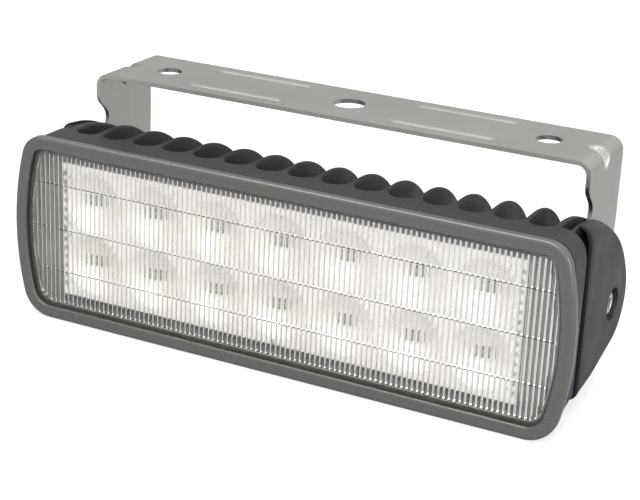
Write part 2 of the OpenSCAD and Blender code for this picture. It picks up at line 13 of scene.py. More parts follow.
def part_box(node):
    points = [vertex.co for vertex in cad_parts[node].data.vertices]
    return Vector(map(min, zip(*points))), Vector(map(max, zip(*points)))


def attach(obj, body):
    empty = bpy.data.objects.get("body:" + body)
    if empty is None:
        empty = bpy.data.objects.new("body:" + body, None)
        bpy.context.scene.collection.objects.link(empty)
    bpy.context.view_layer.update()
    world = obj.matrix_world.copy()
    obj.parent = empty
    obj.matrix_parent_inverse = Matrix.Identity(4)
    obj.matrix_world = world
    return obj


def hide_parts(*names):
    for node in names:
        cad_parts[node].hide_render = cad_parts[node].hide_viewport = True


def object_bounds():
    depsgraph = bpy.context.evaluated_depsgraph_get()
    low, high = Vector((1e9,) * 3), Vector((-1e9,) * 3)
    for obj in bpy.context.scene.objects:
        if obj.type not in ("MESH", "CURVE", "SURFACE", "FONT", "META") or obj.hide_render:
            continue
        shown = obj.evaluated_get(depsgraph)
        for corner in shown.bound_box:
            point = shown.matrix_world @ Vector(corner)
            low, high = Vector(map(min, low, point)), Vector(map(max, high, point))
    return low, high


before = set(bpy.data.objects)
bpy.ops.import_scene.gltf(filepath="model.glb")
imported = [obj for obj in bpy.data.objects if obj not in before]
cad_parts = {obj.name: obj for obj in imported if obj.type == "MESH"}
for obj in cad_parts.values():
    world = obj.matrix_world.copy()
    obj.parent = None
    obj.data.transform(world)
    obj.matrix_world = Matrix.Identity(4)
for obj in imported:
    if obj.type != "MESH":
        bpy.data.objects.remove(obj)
CAD_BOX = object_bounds()
MM = 0.001

# ---------------------------------------------------------------- sizes
RIM_LOW, RIM_HIGH = (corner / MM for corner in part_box("rim"))
RIM_FRONT = -1.6
RIM_BACK = 3.0
RIM_W = 6.3
LENS_FRONT = 0.5
LENS_BACK = 2.4
HALF_W = (RIM_HIGH.x - RIM_LOW.x) / 2
HALF_H = (RIM_HIGH.z - RIM_LOW.z) / 2
FACE = Vector((0, RIM_LOW.y - RIM_FRONT, (RIM_LOW.z + RIM_HIGH.z) / 2))
SIDE_BOW = 7.2
CORNER_TOP = 12.0
CORNER_BOTTOM = 15.0
SIDE_R = (HALF_H**2 + SIDE_BOW**2) / (2 * SIDE_BOW)
SIDE_CX = HALF_W - SIDE_R

PIVOT_Y = 69.5
PIVOT_Z = -5.0
BODY_TOP = HALF_H - 1
ARCH_R = 72.0
TAIL_R = 21.9
BELLY_SLOPE = 0.25
BELLY_LEAN = math.sqrt(1 + BELLY_SLOPE**2)
ARCH_Z = BODY_TOP - ARCH_R
ARCH_Y = PIVOT_Y - math.sqrt((ARCH_R - TAIL_R) ** 2 - (PIVOT_Z - ARCH_Z) ** 2)
BELLY_Z0 = PIVOT_Z - BELLY_SLOPE * PIVOT_Y - TAIL_R * BELLY_LEAN

FIN_ARCH_R = 49.1
FIN_ARCH_Y = 31.9
FIN_TAIL_R = 20.0
COLLAR_BACK = 17.8
COLLAR_END_BACK = 21.0
COLLAR_END_X = 135.0
FIN_PITCH = 16.45
FIN_T = 2.4
FIN_COUNT = 14
END_OUT = 122.9
END_T = 3.4
COLLAR_STEPS = [(2.6, 0), (5.3, 0), (5.4, 0.15), (5.45, 0.8), (5.95, 0.8), (6.0, 0.12), (6.2, 0)]
GUARD_X = (126.2, 127.8)
GUARD_BACK = 39.5
HUB_R = 10
HUB_INNER_X = 103.5
CHAMBER_INSET = 7.6
CHAMBER_BACK = 14.9
DRIVER_BOX = ((-52.0, 14.9, -22.5), (52.0, 80.0, 15.0))

LED_PITCH_X = 32.7
LED_PITCH_Z = 30.4
LED_COLUMNS = 7
TRAY_Y = 6.0
TRAY_HALF_W = 114.75
TRAY_HALF_H = 33.0
CUP_R = 14.2
CUP_HOLE_R = 4.4
CUP_BACK = 12.6

COVER_X = (128.3, 134.6)
COVER_FRONT = 29.3
HEAD_SEAT = 128.9
HEAD_R = 6.9
HEAD_H = 4.3
SOCKET_R = 2.9
SOCKET_DEPTH = 2.6
SHANK_R = 4.0
SHANK_INNER_X = 106
RECESS_R = 7.65

SHEET = 2.0
PLATE_HALF = 23.0
ARM_X = 125.4
BEND_R = 6.5
PIVOT_DROP = 70.5
PIVOT_HOLE_R = 6.06
MID_HOLE_R = 7.75
SIDE_HOLE_R = 6.0
SIDE_HOLE_X = 98


def place(x, y, z):
    """A point of the face frame, in millimetres, as a point of the row frame in metres."""
    return (Vector((x, y, z)) + FACE) * MM


def place_bracket(x, y, z):
    """A point measured from the middle hole on top of the plate, in millimetres."""
    return Vector((x, y, z)) * MM


# ---------------------------------------------------------------- camera, lights, floor
CAMERA_AT = Vector((318.5, -674.7, 211.8)) * MM
CAMERA_AZIMUTH = 26.097
CAMERA_ELEVATION = 20.931
CAMERA_ROLL = 2.542
CAMERA_LENS = 93.456
TENT_BRIGHT_SIDE = (0.45, -0.15, 0.85)
FLOOR_GLOW = 0.62
TENT_LOW = 0.25
TENT_HIGH = 1.25


def make_camera():
    a, e, r = (math.radians(v) for v in (CAMERA_AZIMUTH, CAMERA_ELEVATION, CAMERA_ROLL))
    back = Vector((math.sin(a) * math.cos(e), -math.cos(a) * math.cos(e), math.sin(e)))
    level = Vector((math.cos(a), math.sin(a), 0))
    up = back.cross(level)
    right = level * math.cos(r) + up * math.sin(r)
    data = bpy.data.cameras.new("camera")
    data.lens = CAMERA_LENS
    data.sensor_width = 36
    data.clip_start = 0.05
    data.clip_end = 30
    camera = bpy.data.objects.new("camera", data)
    turn = Matrix((right, back.cross(right), back)).transposed()
    camera.matrix_world = Matrix.Translation(CAMERA_AT) @ turn.to_4x4()
    bpy.context.scene.collection.objects.link(camera)
    bpy.context.scene.camera = camera


def area_light(name, at, target, width, height, watts, colour=(1, 1, 1)):
    data = bpy.data.lights.new(name, "AREA")
    data.shape = "RECTANGLE"
    data.size = width
    data.size_y = height
    data.energy = watts
    data.color = colour
    light = bpy.data.objects.new(name, data)
    light.location = at
    light.rotation_mode = "QUATERNION"
    light.rotation_quaternion = (Vector(target) - Vector(at)).to_track_quat("-Z", "Y")
    bpy.context.scene.collection.objects.link(light)
    return light


def make_world():
    """A light tent: bright overhead and to the right, darker to the left; plain white behind."""
    world = bpy.data.worlds.new("studio")
    world.use_nodes = True
    nodes, links = world.node_tree.nodes, world.node_tree.links
    tent = nodes["Background"]
    tent.inputs["Color"].default_value = (1, 1, 1, 1)
    direction = nodes.new("ShaderNodeTexCoord").outputs["Generated"]
    tilt = nodes.new("ShaderNodeVectorMath")
    tilt.operation = "DOT_PRODUCT"
    tilt.inputs[1].default_value = TENT_BRIGHT_SIDE
    links.new(direction, tilt.inputs[0])
    ramp = nodes.new("ShaderNodeMapRange")
    ramp.inputs["From Min"].default_value = -0.6
    ramp.inputs["From Max"].default_value = 0.9
    ramp.inputs["To Min"].default_value = TENT_LOW
    ramp.inputs["To Max"].default_value = TENT_HIGH
    links.new(tilt.outputs["Value"], ramp.inputs["Value"])
    links.new(ramp.outputs["Result"], tent.inputs["Strength"])
    plain_white = nodes.new("ShaderNodeBackground")
    plain_white.inputs["Color"].default_value = (1, 1, 1, 1)
    path = nodes.new("ShaderNodeLightPath")
    mix = nodes.new("ShaderNodeMixShader")
    links.new(path.outputs["Is Camera Ray"], mix.inputs["Fac"])
    links.new(tent.outputs["Background"], mix.inputs[1])
    links.new(plain_white.outputs["Background"], mix.inputs[2])
    links.new(mix.outputs["Shader"], nodes["World Output"].inputs["Surface"])
    bpy.context.scene.world = world


def make_lights():
    make_world()
    middle = (0, 0, -0.05)
    front = area_light("front", (0.35, -1.5, 0.8), middle, 1.5, 1.0, 20)
    front.visible_glossy = False
    area_light("top", (-0.1, -0.25, 1.2), middle, 1.5, 0.25, 9)
    area_light("right", (1.3, -0.2, 0.15), middle, 0.4, 0.8, 4)


def make_floor():
    size = 6.0
    low = CAD_BOX[0].z
    mesh = bpy.data.meshes.new("floor")
    corners = [(-size, -size), (size, -size), (size, size), (-size, size)]
    mesh.from_pydata([(x, y, low) for x, y in corners], [], [(0, 1, 2, 3)])
    floor = bpy.data.objects.new("floor", mesh)
    mesh.materials.append(floor_material())
    bpy.context.scene.collection.objects.link(floor)


# ---------------------------------------------------------------- node material helpers
class Shade:
    """A material's node tree with short calls for the few nodes that the materials share."""

    def __init__(self, name):
        self.material = bpy.data.materials.new(name)
        self.material.use_nodes = True
        self.nodes = self.material.node_tree.nodes
        self.links = self.material.node_tree.links
        self.shader = self.nodes["Principled BSDF"]
        self.coords = self.nodes.new("ShaderNodeTexCoord").outputs["Object"]

    def set(self, **values):
        for key, value in values.items():
            self.shader.inputs[key.replace("_", " ")].default_value = value
        return self

    def scaled(self, scale):
        node = self.nodes.new("ShaderNodeMapping")
        node.inputs["Scale"].default_value = scale
        self.links.new(self.coords, node.inputs["Vector"])
        return node.outputs["Vector"]

    def noise(self, scale, stretch=(1, 1, 1), detail=3.0, roughness=0.5):
        node = self.nodes.new("ShaderNodeTexNoise")
        node.inputs["Scale"].default_value = scale
        node.inputs["Detail"].default_value = detail
        node.inputs["Roughness"].default_value = roughness
        self.links.new(self.scaled(stretch), node.inputs["Vector"])
        return node.outputs["Fac"]

    def cells(self, scale, stretch=(1, 1, 1)):
        node = self.nodes.new("ShaderNodeTexVoronoi")
        node.inputs["Scale"].default_value = scale
        self.links.new(self.scaled(stretch), node.inputs["Vector"])
        return node.outputs["Distance"]

    def ranged(self, value, low, high, start=0.0, end=1.0):
        node = self.nodes.new("ShaderNodeMapRange")
        node.inputs["From Min"].default_value = start
        node.inputs["From Max"].default_value = end
        node.inputs["To Min"].default_value = low
        node.inputs["To Max"].default_value = high
        self.links.new(value, node.inputs["Value"])
        return node.outputs["Result"]

    def maths(self, operation, a, b):
        node = self.nodes.new("ShaderNodeMath")
        node.operation = operation
        for socket, value in zip(node.inputs, (a, b)):
            if isinstance(value, (int, float)):
                socket.default_value = value
            else:
                self.links.new(value, socket)
        return node.outputs["Value"]

    def ramp(self, value, stops):
        node = self.nodes.new("ShaderNodeValToRGB")
        ramp = node.color_ramp
        while len(ramp.elements) < len(stops):
            ramp.elements.new(0.5)
        for element, (position, colour) in zip(ramp.elements, stops):
            element.position = position
            element.color = (*colour, 1)
        self.links.new(value, node.inputs["Fac"])
        return node.outputs["Color"]

    def bump(self, height, distance, strength=1.0, under=None):
        node = self.nodes.new("ShaderNodeBump")
        node.inputs["Strength"].default_value = strength
        node.inputs["Distance"].default_value = distance
        self.links.new(height, node.inputs["Height"])
        if under is not None:
            self.links.new(under, node.inputs["Normal"])
        return node.outputs["Normal"]

    def to(self, **sockets):
        for key, value in sockets.items():
            self.links.new(value, self.shader.inputs[key.replace("_", " ")])
        return self


def floor_material():
    """White paper sweep, lit from behind for the camera so that only the contact shadow shows."""
    s = Shade("pale_floor").set(Roughness=0.8, Emission_Color=(1, 1, 1, 1))
    cloud = s.noise(3, detail=2)
    path = s.nodes.new("ShaderNodeLightPath")
    s.to(
        Base_Color=s.ramp(cloud, [(0.0, (0.40, 0.40, 0.40)), (1.0, (0.43, 0.43, 0.43))]),
        Emission_Strength=s.maths("MULTIPLY", path.outputs["Is Camera Ray"], FLOOR_GLOW),
    )
    return s.material


def textured_plastic(name, dark, light, grain=1400, depth=0.00006, roughness=(0.42, 0.62)):
    """Moulded plastic with a fine pebble grain and faint handling marks."""
    s = Shade(name)
    pebble = s.cells(grain)
    drift = s.noise(40, detail=4)
    s.to(
        Base_Color=s.ramp(drift, [(0.3, dark), (0.7, light)]),
        Roughness=s.ranged(drift, roughness[0], roughness[1], 0.3, 0.7),
        Normal=s.bump(pebble, depth, 0.5, s.bump(s.noise(grain * 2.2), depth * 0.6, 0.4)),
    )
    return s.material


def satin_paint():
    """The rim's grey paint: fine metallic speckle under a satin coat."""
    s = Shade("grey_rim_paint").set(Metallic=0.6)
    s.set(Coat_Weight=0.25, Coat_Roughness=0.25)
    speckle = s.noise(5200, detail=2)
    drift = s.noise(30)
    s.to(
        Base_Color=s.ramp(speckle, [(0.3, (0.10, 0.10, 0.098)), (0.7, (0.16, 0.16, 0.156))]),
        Roughness=s.ranged(drift, 0.23, 0.31, 0.3, 0.7),
        Normal=s.bump(speckle, 0.00002, 0.35),
    )
    return s.material


def painted_groove_shade():
    # Near-black olive colour on the rim's inner wall and underside: painted shade in the groove between
    # the rim and the lens.
    s = Shade("rim_groove_painted_shade").set(Metallic=0.0)
    drift = s.noise(400, detail=4)
    s.to(
        Base_Color=s.ramp(drift, [(0.3, (0.030, 0.030, 0.024)), (0.7, (0.050, 0.048, 0.040))]),
        Roughness=s.ranged(drift, 0.35, 0.5, 0.3, 0.7),
        Normal=s.bump(drift, 0.00005, 0.3),
    )
    return s.material


def brushed_steel(name, dark, light, stretch, roughness=(0.30, 0.42)):
    """Stainless sheet with fine brushing along the strip and faint clouding."""
    s = Shade(name).set(Metallic=1.0)
    brush = s.noise(1.0, stretch, detail=6, roughness=0.65)
    cloud = s.noise(22, detail=3)
    mixed = s.maths("ADD", s.maths("MULTIPLY", brush, 0.6), s.maths("MULTIPLY", cloud, 0.4))
    s.to(
        Base_Color=s.ramp(mixed, [(0.35, dark), (0.65, light)]),
        Roughness=s.ranged(brush, roughness[0], roughness[1], 0.3, 0.7),
        Normal=s.bump(brush, 0.00002, 0.35),
    )
    return s.material


def lens_material():
    """Clear moulded plastic: it bends what is seen, and light reaches the reflectors through it."""
    s = Shade("clear_lens_plastic")
    s.set(Transmission_Weight=1.0, IOR=1.49, Roughness=0.03)
    s.set(Base_Color=(0.985, 0.978, 0.965, 1))
    s.to(Normal=s.bump(s.noise(260, detail=2), 0.00004, 0.12))
    clear = s.nodes.new("ShaderNodeBsdfTransparent")
    clear.inputs["Color"].default_value = (0.945, 0.937, 0.925, 1)
    path = s.nodes.new("ShaderNodeLightPath")
    mix = s.nodes.new("ShaderNodeMixShader")
    direct = s.maths("MAXIMUM", path.outputs["Is Shadow Ray"], path.outputs["Is Diffuse Ray"])
    s.links.new(direct, mix.inputs["Fac"])
    s.links.new(s.shader.outputs["BSDF"], mix.inputs[1])
    s.links.new(clear.outputs["BSDF"], mix.inputs[2])
    s.links.new(mix.outputs["Shader"], s.nodes["Material Output"].inputs["Surface"])
    return s.material


def bright_reflector():
    """Vacuum-metallised plastic with a faint orange-peel."""
    s = Shade("metallised_reflector").set(Metallic=0.3)
    haze = s.noise(120, detail=3)
    s.to(
        Base_Color=s.ramp(haze, [(0.3, (0.84, 0.83, 0.81)), (0.7, (0.90, 0.89, 0.87))]),
        Roughness=s.ranged(haze, 0.38, 0.48, 0.3, 0.7),
        Normal=s.bump(s.noise(900, detail=2), 0.00003, 0.25),
    )
    return s.material


def plain(name, dark, light, scale, roughness, metallic=0.0, depth=0.00003, **values):
    """A small part's material: two shades mixed by noise, with a matching fine bump."""
    s = Shade(name).set(Metallic=metallic, **values)
    grain = s.noise(scale, detail=4)
    s.to(
        Base_Color=s.ramp(grain, [(0.35, dark), (0.65, light)]),
        Roughness=s.ranged(grain, roughness[0], roughness[1], 0.3, 0.7),
        Normal=s.bump(grain, depth, 0.4),
    )
    return s.material


def circuit_board():
    """Green solder mask with lighter copper runs showing through."""
    s = Shade("driver_solder_mask")
    runs = s.cells(90, (1, 1, 0.01))
    s.to(
        Base_Color=s.ramp(runs, [(0.25, (0.015, 0.09, 0.045)), (0.32, (0.03, 0.16, 0.08))]),
        Roughness=s.ranged(runs, 0.35, 0.5),
        Normal=s.bump(runs, 0.00004, 0.4),
    )
    return s.material


# ---------------------------------------------------------------- mesh helpers
def new_piece(name, points, faces, materials, where=place, marks=None, sharp=35):
    """A mesh object from points in millimetres; marks gives faces a material other than the first."""
    mesh = bpy.data.meshes.new(name)
    mesh.from_pydata([where(*p) for p in points], [], faces)
    for material in materials:
        mesh.materials.append(material)
    for index, slot in (marks or {}).items():
        mesh.polygons[index].material_index = slot
    tidy_mesh(mesh, sharp)
    piece = bpy.data.objects.new(name, mesh)
    bpy.context.scene.collection.objects.link(piece)
    return piece


def tidy_mesh(mesh, sharp):
    """Merges doubled points, turns all faces outward and shades smooth up to the sharp angle."""
    bm = bmesh.new()
    bm.from_mesh(mesh)
    bmesh.ops.remove_doubles(bm, verts=bm.verts, dist=2e-7)
    bmesh.ops.dissolve_degenerate(bm, edges=bm.edges, dist=1e-7)
    bmesh.ops.recalc_face_normals(bm, faces=bm.faces)
    bm.to_mesh(mesh)
    bm.free()
    mesh.shade_smooth()
    mesh.set_sharp_from_angle(angle=math.radians(sharp))


def weigh_normals(piece):
    modifier = piece.modifiers.new("weighted_normals", "WEIGHTED_NORMAL")
    modifier.keep_sharp = True
    modifier.weight = 80


class Builder:
    """Collects points and faces of one piece."""

    def __init__(self):
        self.points = []
        self.faces = []
        self.marks = {}

    def add(self, points, faces, slot=0):
        base = len(self.points)
        self.points += points
        for face in faces:
            if slot:
                self.marks[len(self.faces)] = slot
            self.faces.append(tuple(base + i for i in face))

    def loft(self, rings, closed=True, slot=0, cap_first=False, cap_last=False):
        """Quads between rings of equal length; closed joins each ring's last point to its first."""
        n = len(rings[0])
        faces = []
        for i in range(len(rings) - 1):
            for j in range(n if closed else n - 1):
                k = (j + 1) % n
                faces.append((i * n + j, i * n + k, (i + 1) * n + k, (i + 1) * n + j))
        if cap_first:
            faces.append(tuple(range(n)))
        if cap_last:
            faces.append(tuple(range((len(rings) - 1) * n, len(rings) * n)))
        self.add([p for ring in rings for p in ring], faces, slot)

    def piece(self, name, materials, body, where=place, sharp=35):
        made = new_piece(name, self.points, self.faces, materials, where, self.marks, sharp)
        weigh_normals(made)
        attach(made, body)
        return made


def steps(start, end, count):
    """count + 1 values from start to end."""
    return [start + (end - start) * i / count for i in range(count + 1)]


def arc(cx, cy, r, start, end, count):
    """Points on a circle, angles in degrees."""
    angles = [math.radians(a) for a in steps(start, end, count)]
    return [(cx + r * math.cos(a), cy + r * math.sin(a)) for a in angles]


def smooth(t):
    t = min(1.0, max(0.0, t))
    return t * t * (3 - 2 * t)


# ---------------------------------------------------------------- outlines of the lamp
def corner_x(r):
    return SIDE_CX + math.sqrt((SIDE_R - r) ** 2 - (HALF_H - r) ** 2)


def corner_lean(r):
    return math.degrees(math.asin((HALF_H - r) / (SIDE_R - r)))


def half_outline(g):
    """The rim's outline grown by g, as (x, z) from the top centre round its right end."""
    xt, xb = corner_x(CORNER_TOP), corner_x(CORNER_BOTTOM)
    top, low = corner_lean(CORNER_TOP), corner_lean(CORNER_BOTTOM)
    points = [(x, HALF_H + g) for x in steps(0, xt, 20)[:-1]]
    points += arc(xt, HALF_H - CORNER_TOP, CORNER_TOP + g, 90, top, 14)[:-1]
    points += arc(SIDE_CX, 0, SIDE_R + g, top, -low, 22)[:-1]
    points += arc(xb, CORNER_BOTTOM - HALF_H, CORNER_BOTTOM + g, -low, -90, 16)
    points += [(x, -HALF_H - g) for x in steps(xb, 0, 20)[1:]]
    return points


def outline(g):
    right = half_outline(g)
    return right + [(-x, z) for x, z in reversed(right[1:-1])]


def belly(y):
    return BELLY_Z0 + BELLY_SLOPE * y


class Profile:
    """A side profile: arch over the top, round tail, rising belly."""

    def __init__(self, arch_y, arch_r, tail_r, tail_at=None):
        self.arch_y, self.arch_z, self.arch_r = arch_y, BODY_TOP - arch_r, arch_r
        self.tail_r = tail_r
        self.tail_y, self.tail_z = tail_at or self.find_tail()
        self.arch_end = math.atan2(self.tail_z - self.arch_z, self.tail_y - self.arch_y)

    def find_tail(self):
        """Centre of the tail that touches both the arch and the belly."""
        line = BELLY_Z0 + self.tail_r * BELLY_LEAN
        gap = line - self.arch_z
        b = self.arch_y - BELLY_SLOPE * gap
        c = self.arch_y**2 + gap**2 - (self.arch_r - self.tail_r) ** 2
        y = (b + math.sqrt(b * b - BELLY_LEAN**2 * c)) / BELLY_LEAN**2
        return y, line + BELLY_SLOPE * y

    def perimeter(self, front, back_cut=None):
        """(y, z, normal y, normal z) from the top front round the tail to the belly front."""
        down = (BELLY_SLOPE / BELLY_LEAN, -1 / BELLY_LEAN)
        points, start = [], 90
        if front < self.arch_y:
            points = [(y, BODY_TOP, 0, 1) for y in steps(front, self.arch_y, 4)[:-1]]
        else:
            start = math.degrees(math.acos((front - self.arch_y) / self.arch_r))
        for c, s in arc(0, 0, 1, start, math.degrees(self.arch_end), 34):
            points.append((self.arch_y + self.arch_r * c, self.arch_z + self.arch_r * s, c, s))
        belly_end = math.degrees(math.atan2(down[1], down[0]))
        for c, s in arc(0, 0, 1, math.degrees(self.arch_end), belly_end, 26)[1:]:
            points.append((self.tail_y + self.tail_r * c, self.tail_z + self.tail_r * s, c, s))
        points += [(y, belly(y), *down) for y in steps(points[-1][0], front, 16)[1:]]
        return points if back_cut is None else cut_perimeter(points, back_cut)


def arch_top(y):
    """Height of the covers' arch at depth y."""
    return ARCH_Z + math.sqrt(ARCH_R**2 - max(0.0, y - ARCH_Y) ** 2)


def cut_perimeter(points, back):
    """Replaces what lies behind depth back by an upright edge."""
    kept = []
    for a, b in zip(points, points[1:]):
        if a[0] <= back:
            kept.append(a)
        if (a[0] - back) * (b[0] - back) < 0:
            t = (back - a[0]) / (b[0] - a[0])
            z = a[1] + t * (b[1] - a[1])
            corner = [(back, z, a[2], a[3]), (back, z, 1, 0)]
            kept += corner if a[0] < back else corner[::-1]
    return kept + [points[-1]]


# ---------------------------------------------------------------- rim
def rim_section():
    """(growth, depth) across the rim: rounded outer edge, two fine grooves, rounded inner edge."""
    outer = [(-1.9 + x, y) for x, y in arc(0, 0.3, 1.9, 0, -90, 12)]
    fine = []
    for at in (-2.7, -3.5):
        fine += [(at, -1.6), (at - 0.12, -1.52), (at - 0.24, -1.6)]
    inner = [(-RIM_W + 1.0 + x, y) for x, y in arc(0, -0.6, 1.0, -90, -180, 8)]
    return [(-0.5, 2.95), (-0.1, 2.75), (0.0, 2.4)] + outer + fine + inner


def make_rim(paint, groove_shade):
    b = Builder()
    section = rim_section()
    b.loft([[(x, y, z) for x, z in outline(g)] for g, y in section])
    # The inner wall and underside get the second material, the groove's painted shade.
    under = [section[-1], (-RIM_W, LENS_FRONT - 0.06), (-4.5, LENS_FRONT - 0.06)]
    under += [(-4.45, 2.3), (-4.3, 2.95), section[0]]
    b.loft([[(x, y, z) for x, z in outline(g)] for g, y in under], slot=1)
    rim = b.piece("rim_frame", [paint, groove_shade], "lamp", sharp=50)
    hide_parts("rim")


# ---------------------------------------------------------------- lens
FLUTE_PITCH = 2.5
FLUTE_COUNT = 107
FLUTE_R = 1.3
FLUTE_END = 0.5
FLUTE_BREAKS = (-20.8, 0.5, 22.4)
FIELD_INSET = 8.4
LENS_GROWTH = -4.42


def level_at(x, g, corner):
    """Height of the rim's outline grown by g at x, with corners of that radius."""
    r, centre = corner + g, corner_x(corner)
    level = HALF_H + g
    if x > centre:
        level += math.sqrt(max(0.0, r * r - (x - centre) ** 2)) - r
    bow = math.sqrt(max(0.0, (SIDE_R + g) ** 2 - (x - SIDE_CX) ** 2))
    return min(level, bow) if x < SIDE_CX + SIDE_R + g else 0.0


def lens_stations(low, high):
    """(z, fullness) down the lens: flutes round off at both ends and dip at each plain line."""
    cuts = [low, *(min(high, max(low, z)) for z in FLUTE_BREAKS), high]
    soft = [0, 12, 28, 46, 66, 90]
    stations = []
    for z0, z1 in zip(cuts, cuts[1:]):
        end = min(FLUTE_END, (z1 - z0) / 2)
        for angles, start, way in ((soft, z0, 1), (soft[::-1], z1, -1)):
            for a in (math.radians(v) for v in angles):
                stations.append((start + way * end * (1 - math.cos(a)), math.sin(a)))
    return stations


def lens_column(x):
    """Closed section of the lens at one x: up its fluted back, then down its flat front."""
    across = abs(x)
    low = -level_at(across, -FIELD_INSET, CORNER_BOTTOM)
    high = level_at(across, -FIELD_INSET, CORNER_TOP)
    u = x - FLUTE_PITCH * round(x / FLUTE_PITCH)
    rise = math.sqrt(FLUTE_R**2 - u * u) - math.sqrt(FLUTE_R**2 - FLUTE_PITCH**2 / 4)
    if high - low < 2:
        rise = 0
    foot, top = -level_at(across, LENS_GROWTH, CORNER_BOTTOM), level_at(across, LENS_GROWTH, CORNER_TOP)
    column = [(x, LENS_FRONT, foot), (x, LENS_BACK, foot)]
    column += [(x, LENS_BACK + rise * full, z) for z, full in lens_stations(low, high)]
    return column + [(x, LENS_BACK, top), (x, LENS_FRONT, top)]


def make_lens(clear):
    b = Builder()
    edge = SIDE_CX + SIDE_R + LENS_GROWTH
    field = FLUTE_PITCH * FLUTE_COUNT / 2
    columns = steps(-field, field, FLUTE_COUNT * 10)
    ends = [edge - 0.02, edge - 0.5]
    columns = [-x for x in ends] + columns + ends[::-1]
    b.loft([lens_column(x) for x in columns], cap_first=True, cap_last=True)
    lens = b.piece("fluted_lens", [clear], "lamp", sharp=30)
    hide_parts("lens")


# ---------------------------------------------------------------- reflector tray
def cup_depth(r):
    """Depth of the parabolic cup at radius r."""
    share = (r * r - CUP_HOLE_R**2) / (CUP_R**2 - CUP_HOLE_R**2)
    return CUP_BACK - (CUP_BACK - TRAY_Y) * share


def cell_border(x0, x1, z0, z1, per_side=14):
    border = [(x, z1) for x in steps(x0, x1, per_side)[:-1]]
    border += [(x1, z) for z in steps(z1, z0, per_side)[:-1]]
    border += [(x, z0) for x in steps(x1, x0, per_side)[:-1]]
    return border + [(x0, z) for z in steps(z0, z1, per_side)[:-1]]


def make_cup(b, cx, cz, border):
    """One cell of the tray: flat deck round a rounded mouth, then the parabolic cup."""
    angles = [math.atan2(z - cz, x - cx) for x, z in border]
    rings = [[(x, TRAY_Y, z) for x, z in border]]
    lip = [(CUP_R + 0.7, TRAY_Y), (CUP_R + 0.35, TRAY_Y + 0.05), (CUP_R + 0.1, TRAY_Y + 0.2)]
    wall = [(r, cup_depth(r) + 0.35 * (r / CUP_R) ** 2) for r in steps(CUP_R - 0.1, CUP_HOLE_R, 14)]
    for r, y in lip + wall:
        rings.append([(cx + r * math.cos(a), y, cz + r * math.sin(a)) for a in angles])
    b.loft(rings)


def make_reflector(metal):
    b = Builder()
    edge = TRAY_HALF_W - LED_COLUMNS / 2 * LED_PITCH_X
    for column in range(LED_COLUMNS):
        cx = (column - (LED_COLUMNS - 1) / 2) * LED_PITCH_X
        x0 = cx - LED_PITCH_X / 2 - (edge if column == 0 else 0)
        x1 = cx + LED_PITCH_X / 2 + (edge if column == LED_COLUMNS - 1 else 0)
        for side in (-1, 1):
            z0, z1 = sorted((0, side * TRAY_HALF_H))
            make_cup(b, cx, side * LED_PITCH_Z / 2, cell_border(x0, x1, z0, z1))
    skirt = cell_border(-TRAY_HALF_W, TRAY_HALF_W, -TRAY_HALF_H, TRAY_HALF_H)
    b.loft([[(x, y, z) for x, z in skirt] for y in (TRAY_Y, CUP_BACK)])
    tray = b.piece("reflector_cups", [metal], "lamp", sharp=40)
    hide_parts("reflector_tray")


# ---------------------------------------------------------------- housing
LIP = 1.15
LIP_ANGLES = steps(0, 90, 5)
FRONT_ANGLES = steps(0, 90, 14)


def lip_ring(left, right, ny=0.0, nz=1.0):
    """Points across a fin's crest: up one rounded lip, along the top, down the other.

    left and right give a point on the top surface for a distance in from the slot's wall."""
    ring = []
    for end, order in ((left, LIP_ANGLES), (right, LIP_ANGLES[::-1])):
        for a in (math.radians(v) for v in order):
            x, y, z = end(LIP * (1 - math.cos(a)))
            drop = LIP * (1 - math.sin(a))
            ring.append((x, y - ny * drop, z - nz * drop))
    return ring


def slot_edge(centre, r, angle, way, surface):
    """Point on the half-round front of a slot, set out from its wall, on the surface z(y)."""
    a = math.radians(angle)

    def point(out):
        y = COLLAR_BACK + r - (r + out) * math.cos(a)
        return centre + way * (r + out) * math.sin(a), y, surface(y)

    return point


def straight_edge(x, way, y, z):
    """Point on a straight fin wall at x, set in along way (0 keeps a square corner)."""
    return lambda out: (x + way * out, y, z)


def front_rings(left, right, surface, nz):
    """Rings round the half-round slot ends beside a fin; a side without a slot stays straight.

    left and right are (centre, radius) of a slot or the x of a plain wall."""
    rings = []
    for angle in FRONT_ANGLES:
        ends = []
        for side, way in ((left, 1), (right, -1)):
            if isinstance(side, tuple):
                ends.append(slot_edge(*side, angle, way, surface))
            else:
                r = right[1] if isinstance(right, tuple) else left[1]
                y = COLLAR_BACK + r - r * math.cos(math.radians(angle))
                ends.append(straight_edge(side, 0, y, surface(y)))
        rings.append(lip_ring(*ends, 0.0, nz))
    return rings


def make_fin(b, left, right, profile, back_cut=None):
    """A fin with the part of the collar in front of it; left and right as in front_rings."""
    (x0, way0), (x1, way1) = (
        (side[0] + way * side[1], way) if isinstance(side, tuple) else (side, 0)
        for side, way in ((left, 1), (right, -1))
    )
    r = max(side[1] for side in (left, right) if isinstance(side, tuple))
    path = profile.perimeter(COLLAR_BACK + r, back_cut)
    rings = front_rings(left, right, lambda y: BODY_TOP, 1.0)
    for y, z, ny, nz in path[1:-1]:
        ends = straight_edge(x0, way0, y, z), straight_edge(x1, way1, y, z)
        rings.append(lip_ring(*ends, ny, nz))
    rings += front_rings(left, right, belly, -1.0)[::-1]
    b.loft(rings, closed=False)
    fan = len(FRONT_ANGLES)
    fin_walls(b, rings, fan)
    collar_plates(b, rings[0], rings[-1])


def fin_walls(b, rings, fan):
    """Side faces of a fin: strips round the slot ends, one flat face behind them."""
    n = len(rings)
    for column in (0, -1):
        for i in range(fan - 1):
            quad = [rings[k][column] for k in (i, i + 1, n - 2 - i, n - 1 - i)]
            b.add(quad, [(0, 1, 2, 3)])
        flat = [ring[column] for ring in rings[fan - 1 : n - fan + 1]]
        b.add(flat, [tuple(range(len(flat)))])


